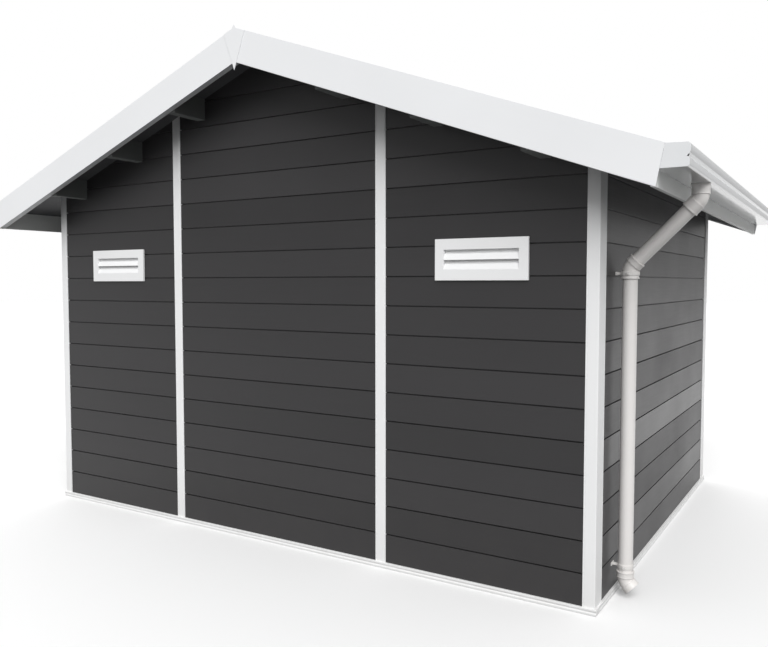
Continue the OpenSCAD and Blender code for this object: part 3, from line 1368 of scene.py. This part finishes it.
@dataclass
class RoofEdge:
    """Folded barge boards and the pointed plates over their joint."""

    finishes: Finishes
    slopes: Slopes
    sheet: float = 0.002
    hem: float = 0.012

    def barge(self) -> Obj:
        """Build the folded barge board on the right half of the front gable.

        Returns:
            The barge board.
        """
        node = "barge_board_front_right"
        lo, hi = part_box(node)
        verts = [v.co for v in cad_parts[node].data.vertices]
        ridge = [v.z for v in verts if v.x < 0.001]
        low, top = min(ridge), max(ridge)
        folds = sorted({round(v.y, 4) for v in verts})
        fold, cover = folds[-2], folds[-1]
        s, face = self.sheet, lo.y
        loop = [
            (face, low), (fold, low), (fold, low + self.hem), (fold - s, low + self.hem),
            (fold - s, low + s), (face + s, low + s), (face + s, top - s), (cover, top - s),
            (cover, top), (face, top),
        ]
        corners = [Vector((0, y, z)) for y, z in loop]
        reach = hi.x + 0.02
        obj = Bench.swept(
            "barge_sheet", corners, Vector((reach, 0, -self.slopes.rise * reach))
        )
        foot = max((v for v in verts if abs(v.z - lo.z) < 0.001), key=lambda v: v.x)
        head = max(verts, key=lambda v: v.x)
        way = Vector((head.z - foot.z, 0, foot.x - head.x)).normalized()
        Bench.slice_off(obj, foot.copy(), way)
        Bench.soften(obj, 0.0012, 2)
        return obj

    def plate(self) -> Obj:
        """Build the pointed plate over the front joint.

        Returns:
            The plate.
        """
        node = "apex_plate_front"
        lo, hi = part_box(node)
        front = [v.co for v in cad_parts[node].data.vertices if v.co.y < lo.y + 0.0005]
        unique = {(round(v.x, 4), round(v.z, 4)) for v in front}
        middle = Vector((0.0, (lo.z + hi.z) / 2))
        loop = sorted(unique, key=lambda p: math.atan2(p[1] - middle.y, p[0] - middle.x))
        obj = Bench.outline("apex_plate_sheet", loop, Axis.Y, lo.y, hi.y)
        Bench.soften(obj, 0.001, 1)
        return obj

    def build(self) -> list[Piece]:
        """Build the barge boards and apex plates.

        Returns:
            The pieces.
        """
        trim = self.finishes.trim
        made = Piece.four(self.barge(), "barge_board_{}_{}", "_sheet", "trim_sheet", trim)
        return made + Piece.pair(
            self.plate(), "apex_plate_back_sheet", Mirror.BACK, "trim_sheet",
            ("apex_plate_front", "apex_plate_back"), trim,
        )


@dataclass
class Eaves:
    """Fascia boards and moulded gutters."""

    finishes: Finishes
    slopes: Slopes
    wall: float = 0.0028

    def fascia(self) -> list[Piece]:
        """Build the fascia boards.

        Returns:
            The pieces.
        """
        lo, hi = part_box("fascia_right")
        section = [
            (lo.x, lo.z), (hi.x, lo.z), (hi.x, self.slopes.under(hi.x)),
            (lo.x, self.slopes.under(lo.x)),
        ]
        obj = Bench.outline("fascia_board_right", section, Axis.Y, lo.y, hi.y)
        Bench.soften(obj, 0.002, 2)
        return Piece.pair(
            obj, "fascia_board_left", Mirror.LEFT, "fascia_board",
            ("fascia_right", "fascia_left"), self.finishes.fascia,
        )

    def outer(self, lo: Vector, hi: Vector) -> list[Point2]:
        """Outer line of the gutter, from its back edge round its mouldings to its rim.

        Args:
            lo: Lowest corner of the gutter.
            hi: Highest corner of the gutter.

        Returns:
            Points of the line.
        """
        x, z, top = hi.x, lo.z, hi.z - 0.003
        line = [(lo.x, z + 0.036), (lo.x, z), (x - 0.014, z)]
        line += [
            (x - 0.014 + 0.010 * math.sin(a), z + 0.010 - 0.010 * math.cos(a))
            for a in (0.4, 0.8, 1.2, 1.57)
        ]
        waist, head = z + 0.040, z + 0.046
        line += [(x - 0.004, waist - 0.010), (x - 0.008, waist - 0.003), (x - 0.014, waist)]
        radius = (top - head) / 2
        line += [
            (x - 0.010 + 0.010 * math.sin(a), head + radius - radius * math.cos(a))
            for a in (0.15, 0.5, 0.9, 1.3, 1.7, 2.1, 2.5, 2.9)
        ]
        return line + [(x - 0.014, top), (x - 0.018, top - 0.003)]

    def trough(self) -> Obj:
        """Build the gutter of the right eaves with its end plates.

        Returns:
            The gutter.
        """
        lo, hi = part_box("gutter_right")
        wall = self.wall
        back, end = lo.y + 0.004, hi.y - 0.004
        outer = self.outer(lo, hi)
        inner = []
        for i in range(len(outer) - 1, -1, -1):
            a = Vector(outer[max(i - 1, 0)])
            b = Vector(outer[min(i + 1, len(outer) - 1)])
            t = (b - a).normalized()
            inner.append((outer[i][0] - t.y * wall, outer[i][1] + t.x * wall))
        inner[-2] = (outer[1][0] + wall, outer[1][1] + wall)
        inner[-1] = (outer[0][0] + wall, outer[0][1])
        body = Bench.outline("gutter_trough", outer + inner, Axis.Y, back, end)
        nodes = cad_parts["gutter_right"].data.vertices
        verts = [v.co for v in nodes if v.co.y < back - 0.002]
        low_x = min(v.x for v in verts)
        top_in = max(verts, key=lambda v: v.z)
        cap = [(low_x, lo.z), *outer[2:-1], (top_in.x, hi.z)]
        front = Bench.outline("gutter_end", cap, Axis.Y, lo.y, back)
        rear = Bench.outline("gutter_end", cap, Axis.Y, end, hi.y)
        for part in (body, front, rear):
            Bench.soften(part, 0.0008, 1)
        return Bench.joined("gutter_right_moulding", [body, front, rear])

    def build(self) -> list[Piece]:
        """Build the eaves.

        Returns:
            The pieces.
        """
        made = self.fascia()
        right = self.trough()
        left = Bench.mirrored(right, "gutter_left_moulding", Mirror.LEFT)
        lo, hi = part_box("downpipe_top_bend")
        radius = 0.0315
        centre = Vector((hi.x - 0.04, (lo.y + hi.y) / 2, hi.z))
        Bench.clear()
        bpy.ops.mesh.primitive_cylinder_add(
            vertices=40, radius=radius, depth=0.02, location=centre
        )
        Bench.carve(right, Bench.named("cutter"))
        Bench.only(right)
        bpy.ops.object.shade_smooth_by_angle(angle=SMOOTH)
        made.append(Piece(right, "gutter_plastic", ("gutter_right",)).settle(self.finishes.gutter))
        made.append(Piece(left, "gutter_plastic", ("gutter_left",)).settle(self.finishes.gutter))
        return made


@dataclass
class Downpipe:
    """The pipe from the gutter to the ground, with bends, shoe and brackets."""

    finishes: Finishes
    pipe: float = 0.034
    bore: float = 0.0315
    bend: float = 0.036
    socket: float = 0.0395
    turn: float = 0.044
    reach: float = 0.040
    upper_slope: float = 0.066
    foot_upright: float = 0.054
    foot_slope: float = 0.048
    shoe_upright: float = 0.048
    shoe_slope: float = 0.046
    overlap: float = 0.008
    clip_half: float = 0.010
    ear: float = 0.007
    plate: float = 0.004
    screw_radius: float = 0.0036
    screw_depth: float = 0.0024

    def collar(self, foot: Vector, radius: float, length: float, lean: float) -> Obj:
        """Make a socket tube, without its raised band.

        Args:
            foot: Centre of its lower end.
            radius: Outside radius.
            length: Length.
            lean: Lean in radians.

        Returns:
            The socket.
        """
        tube = Bench.tube("socket", foot, radius, self.bore, length, lean)
        Bench.soften(tube, 0.0012, 2)
        return tube

    def band(self, foot: Vector, radius: float, length: float, lean: float) -> Obj:
        """Make the raised band of a socket.

        Args:
            foot: Centre of its lower end.
            radius: Radius of the socket.
            length: Length.
            lean: Lean in radians.

        Returns:
            The band.
        """
        tube = Bench.tube("band", foot, radius + 0.002, radius - 0.001, length, lean)
        Bench.soften(tube, 0.0016, 2)
        return tube

    def leg(
        self, corner: Vector, way: Vector, near: float, far: float, radius: float, lean: float
    ) -> list[Obj]:
        """Make the socket on one side of a bend, with its bands.

        Args:
            corner: Where the bend's axes meet.
            way: Direction from the corner along the leg.
            near: Distance of the socket's start from the corner.
            far: Distance of its end.
            radius: Outside radius.
            lean: Lean of the leg, in radians.

        Returns:
            The parts of the socket.
        """
        a, b = corner + way * near, corner + way * far
        low, length = (a, far - near) if a.z < b.z else (b, far - near)
        up = way if way.z > 0 else -way
        mouth = b if b.z < a.z else b - up * 0.007
        inner = a if a.z < b.z else a - up * 0.005
        return [
            self.collar(low, radius, length, lean),
            self.band(mouth, radius, 0.007, lean),
            self.band(inner, radius - 0.0012, 0.005, lean),
        ]

    def bend_piece(
        self, name: str, corner: Vector, side: int, flip: bool, upright: float, slope: float
    ) -> Obj:
        """Build a whole bend.

        Args:
            name: Name of the object.
            corner: Where its axes meet.
            side: 1 if the sloping side goes to +X, -1 if to -X.
            flip: True if the upright side hangs below the corner.
            upright: Length of the upright side from the corner.
            slope: Length of the sloping side from the corner.

        Returns:
            The bend.
        """
        tangent = self.turn * math.tan(EIGHTH / 2)
        diag = math.sqrt(0.5)
        up = Vector((0, 0, -1 if flip else 1))
        out = Vector((side * diag, 0, diag if flip else -diag))
        body = Bench.elbow("elbow", corner, self.bend, self.bore, self.turn, side)
        if flip:
            Bench.edit(body)
            bpy.ops.transform.resize(value=(1, 1, -1), center_override=tuple(corner))
            Bench.closed(body)
        Bench.only(body)
        bpy.ops.object.shade_smooth_by_angle(angle=SMOOTH)
        lean = math.atan2(out.x, out.z) if out.z > 0 else math.atan2(-out.x, -out.z)
        parts = [body]
        parts += self.leg(corner, up, tangent, upright, self.socket, 0.0)
        parts += self.leg(corner, out, tangent, slope, self.socket, lean)
        return Bench.joined(name, parts)

    def bracket(self, centre: Vector, radius: float, wall_x: float) -> list[Obj]:
        """Build a pipe clip: two half bands with ears, an arm and a foot plate.

        Args:
            centre: Where the clip holds the pipe's axis.
            radius: Outside radius of the pipe there.
            wall_x: Face of the wall.

        Returns:
            The parts of the clip.
        """
        high = 0.018
        ring = Bench.tube(
            "clip", centre - Vector((0, 0, high / 2)), radius + 0.003, radius, high
        )
        Bench.soften(ring, 0.001, 2)
        parts = [ring]
        for way in (1, -1):
            y = centre.y + way * (radius + self.ear)
            ear = Bench.block(
                "ear", (centre.x - self.plate, y - 0.005, centre.z - 0.007),
                (centre.x + self.plate, y + 0.005, centre.z + 0.007),
            )
            Bench.soften(ear, 0.001, 2)
            parts.append(ear)
        arm = Bench.block(
            "arm", (wall_x + 0.003, centre.y - 0.005, centre.z - 0.006),
            (centre.x - radius - 0.001, centre.y + 0.005, centre.z + 0.006),
        )
        foot = Bench.block(
            "foot", (wall_x, centre.y - 0.022, centre.z - 0.008),
            (wall_x + self.plate, centre.y + 0.022, centre.z + 0.008),
        )
        for part in (arm, foot):
            Bench.soften(part, 0.0012, 2)
            parts.append(part)
        return parts

    def screws(self, centre: Vector, radius: float, wall_x: float) -> list[Obj]:
        """Build the screws of a clip, in its ears and its foot plate.

        Args:
            centre: Where the clip holds the pipe's axis.
            radius: Outside radius of the pipe there.
            wall_x: Face of the wall.

        Returns:
            The screw heads.
        """
        made = []
        spots = [
            Vector((x, centre.y + way * off, centre.z))
            for x, off in (
                (centre.x + self.plate, radius + self.ear), (wall_x + self.plate, 0.015)
            )
            for way in (1, -1)
        ]
        for spot in spots:
            Bench.clear()
            bpy.ops.mesh.primitive_cylinder_add(
                vertices=16, radius=self.screw_radius, depth=self.screw_depth,
                location=spot + Vector((0.001, 0, 0)),
                rotation=(0, math.pi / 2, 0),
            )
            head = Bench.named("screw")
            Bench.edit(head)
            bpy.ops.mesh.select_mode(type="FACE")
            Bench.pick(head, lambda f: f.normal.x > 0.9)
            bpy.ops.mesh.inset(thickness=0.0016)
            bpy.ops.mesh.extrude_region_move(
                TRANSFORM_OT_translate={"value": (-self.screw_depth / 2, 0, 0)}
            )
            Bench.soften(head, 0.0004, 1)
            made.append(head)
        return made

    def build(self) -> list[Piece]:
        """Build the downpipe.

        Returns:
            The pieces.
        """
        made = []
        glaze = self.finishes.pipe
        pipe_lo, pipe_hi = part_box("downpipe_pipe")
        axis = (pipe_lo + pipe_hi) / 2
        top_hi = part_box("downpipe_top_bend")[1]
        low_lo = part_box("downpipe_lower_bend")[0]
        shoe_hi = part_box("downpipe_shoe")[1]
        outlet_x = top_hi.x - self.reach
        low_corner = Vector((axis.x, axis.y, low_lo.z + self.foot_upright))
        top_corner = Vector((outlet_x, axis.y, low_corner.z + outlet_x - axis.x))
        shoe_corner = Vector((axis.x, axis.y, shoe_hi.z - self.shoe_upright))
        top = self.bend_piece(
            "downpipe_upper_bend", top_corner, -1, False, top_hi.z - top_corner.z,
            self.upper_slope,
        )
        low = self.bend_piece(
            "downpipe_foot_bend", low_corner, 1, True, self.foot_upright, self.foot_slope
        )
        shoe = self.bend_piece(
            "downpipe_outlet_shoe", shoe_corner, 1, False, self.shoe_upright, self.shoe_slope
        )
        diag = math.sqrt(0.5)
        near, far = self.foot_slope - self.overlap, self.upper_slope - self.overlap
        start = low_corner + Vector((diag, 0, diag)) * near
        length = (top_corner - low_corner).length - near - far
        slope = Bench.tube(
            "downpipe_sloping_pipe", start, self.pipe, self.bore, length, EIGHTH
        )
        straight = Bench.tube(
            "downpipe_straight_pipe", Vector((axis.x, axis.y, pipe_lo.z)), self.pipe, self.bore,
            pipe_hi.z - pipe_lo.z,
        )
        for tube in (slope, straight):
            Bench.soften(tube, 0.0006, 1)
        for obj, node in (
            (top, "downpipe_top_bend"), (low, "downpipe_lower_bend"), (shoe, "downpipe_shoe"),
            (slope, "downpipe_offset"), (straight, "downpipe_pipe"),
        ):
            made.append(Piece(obj, "pipe_plastic", (node,)).settle(glaze))
        lo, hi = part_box("downpipe_brackets")
        levels = ((lo.z + self.clip_half, self.pipe), (hi.z - self.clip_half, self.socket))
        clips, screws = [], []
        for z, radius in levels:
            centre = Vector((axis.x, axis.y, z))
            clips += self.bracket(centre, radius, lo.x)
            screws += self.screws(centre, radius, lo.x)
        clip = Bench.joined("downpipe_clips", clips)
        heads = Bench.joined("downpipe_clip_screws", screws)
        made.append(Piece(clip, "pipe_plastic", ("downpipe_brackets",)).settle(glaze))
        made.append(Piece(heads, "pipe_plastic").settle(self.finishes.screw))
        return made


# ---------------------------------------------------------------- studio


@dataclass
class Studio:
    """Floor, light and camera."""

    corner_offset: Point3 = (0.963, -3.365, 1.495)
    heading: float = 31.70
    dip: float = 2.994
    lens: float = 35.85
    world_light: float = 0.52
    key: float = 2.9
    key_aim: Point3 = (-0.6, 0.95, -0.88)
    fill: float = 0.8
    fill_aim: Point3 = (0.6, -0.75, -0.8)
    floor_radius: float = 60
    floor_bounce: float = 0.10
    floor_seen: float = 0.93

    def camera(self) -> None:
        """Place the camera by the front right corner of the walls."""
        lo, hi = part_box("corner_post_front_right")
        data = bpy.data.cameras.new("camera")
        data.lens, data.sensor_width = self.lens, 36.0
        data.clip_end = 200
        cam = bpy.data.objects.new("camera", data)
        cam.location = Vector((hi.x, lo.y, 0)) + Vector(self.corner_offset)
        cam.rotation_euler = (math.radians(90 - self.dip), 0, math.radians(self.heading))
        bpy.context.scene.collection.objects.link(cam)
        bpy.context.scene.camera = cam

    def floor(self) -> None:
        """Lay a wide pale floor that keeps the shadow."""
        Bench.clear()
        bpy.ops.mesh.primitive_circle_add(
            vertices=64, radius=self.floor_radius, fill_type="NGON", location=(0, 0, -0.0005)
        )
        obj = Bench.named("floor")
        mat, tree, shader = Kit.blank("pale floor")
        shader.inputs["Roughness"].default_value = 1.0
        shader.inputs["Specular IOR Level"].default_value = 0.0
        path = tree.nodes.new("ShaderNodeLightPath")
        seen = Effects.maths(
            tree, "MAXIMUM", path.outputs["Is Camera Ray"],
            Effects.maths(tree, "MAXIMUM", path.outputs["Is Glossy Ray"],
                          path.outputs["Is Transmission Ray"]),
        )
        mix = tree.nodes.new("ShaderNodeMix")
        mix.data_type = "RGBA"
        mix.inputs[6].default_value = (*(self.floor_bounce,) * 3, 1)
        mix.inputs[7].default_value = (*(self.floor_seen,) * 3, 1)
        tree.links.new(seen, mix.inputs["Factor"])
        tree.links.new(mix.outputs[2], shader.inputs["Base Color"])
        obj.data.materials.append(mat)

    def light(self) -> None:
        """Set the sky, a broad soft lamp and a weak one behind."""
        world = bpy.data.worlds.new("studio")
        bpy.context.scene.world = world
        world.use_nodes = True
        tree = world.node_tree
        back = tree.nodes["Background"]
        back.inputs["Color"].default_value = (1, 1, 1, 1)
        path = tree.nodes.new("ShaderNodeLightPath")
        seen = path.outputs["Is Camera Ray"]
        strength = Effects.maths(
            tree, "ADD", self.world_light,
            Effects.maths(tree, "MULTIPLY", seen, 1.0 - self.world_light),
        )
        tree.links.new(strength, back.inputs["Strength"])
        self.lamp("soft key", self.key, 50, Vector(self.key_aim))
        self.lamp("soft fill", self.fill, 80, Vector(self.fill_aim))

    @staticmethod
    def lamp(name: str, energy: float, spread: float, aim: Vector) -> None:
        """Hang one broad lamp.

        Args:
            name: Name of the lamp.
            energy: Its strength.
            spread: Its angular size in degrees.
            aim: The way its light goes.
        """
        sun = bpy.data.lights.new(name, "SUN")
        sun.energy, sun.angle = energy, math.radians(spread)
        lamp = bpy.data.objects.new(name, sun)
        lamp.rotation_euler = aim.to_track_quat("-Z", "Y").to_euler()
        bpy.context.scene.collection.objects.link(lamp)

    def build(self) -> None:
        """Set up the whole studio."""
        self.floor()
        self.light()
        self.camera()
        bpy.context.scene.view_settings.view_transform = "Standard"


def corners(pair: tuple[Vector, Vector]) -> list[list[float]]:
    """Turn a pair of corners into plain lists."""
    return [list(pair[0]), list(pair[1])]


def main() -> None:
    """Build the shed piece by piece and set up the studio."""
    logging.basicConfig(level=logging.INFO, format="%(name)s: %(message)s")
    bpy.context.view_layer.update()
    slopes = Slopes.measured()
    finishes = Finishes(Kit())
    builders = (
        BaseTrack(finishes.frame_white),
        Posts(finishes.frame_white, slopes),
        BoardWalls(finishes.boards, slopes),
        Vents(finishes.vent),
        RoofDeck(finishes, slopes),
        RoofEdge(finishes, slopes),
        Eaves(finishes, slopes),
        Downpipe(finishes),
    )
    total = 0
    for builder in builders:
        pieces = builder.build()
        total += len(pieces)
        LOG.info("%s made %d pieces", type(builder).__name__, len(pieces))
    Bench.clear()
    Studio().build()
    LOG.info("%d pieces in all", total)


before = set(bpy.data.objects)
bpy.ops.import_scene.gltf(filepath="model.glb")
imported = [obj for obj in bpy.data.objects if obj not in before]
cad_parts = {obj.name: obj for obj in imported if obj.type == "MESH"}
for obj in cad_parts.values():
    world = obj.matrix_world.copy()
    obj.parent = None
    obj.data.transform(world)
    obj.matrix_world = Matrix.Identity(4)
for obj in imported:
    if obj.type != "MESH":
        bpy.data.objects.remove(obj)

if __name__ == "__main__":
    main()
